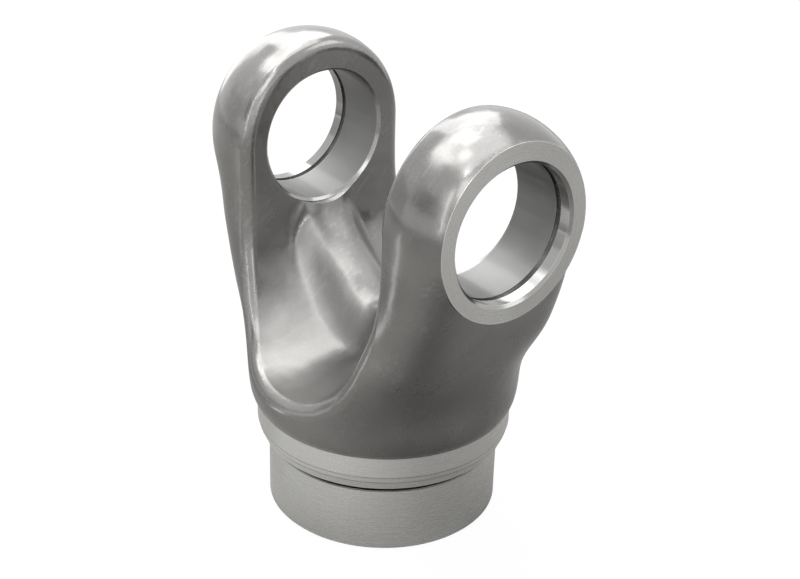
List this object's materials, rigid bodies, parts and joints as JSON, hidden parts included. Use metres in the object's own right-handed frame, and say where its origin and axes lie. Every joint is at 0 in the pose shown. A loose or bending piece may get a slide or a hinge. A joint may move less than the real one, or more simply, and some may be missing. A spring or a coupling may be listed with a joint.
{
  "type": "drive shaft weld yoke",
  "caption": "Forged steel yoke with two bored ears for the bearing cups of a universal-joint cross and a turned spigot for a shaft tube.",
  "frame": {"origin": "centre of the spigot's end face, where the part stands", "axes": "+Z along the shaft axis towards the ears, X along the axis of the two cross bores, Y through the open sides of the jaw"},
  "size_m": [0.1548, 0.118, 0.1962],
  "materials": {
    "forged_steel": "satin"
  },
  "bodies": {
    "root": {"forged_yoke": "forged_steel"}
  },
  "joints": []
}
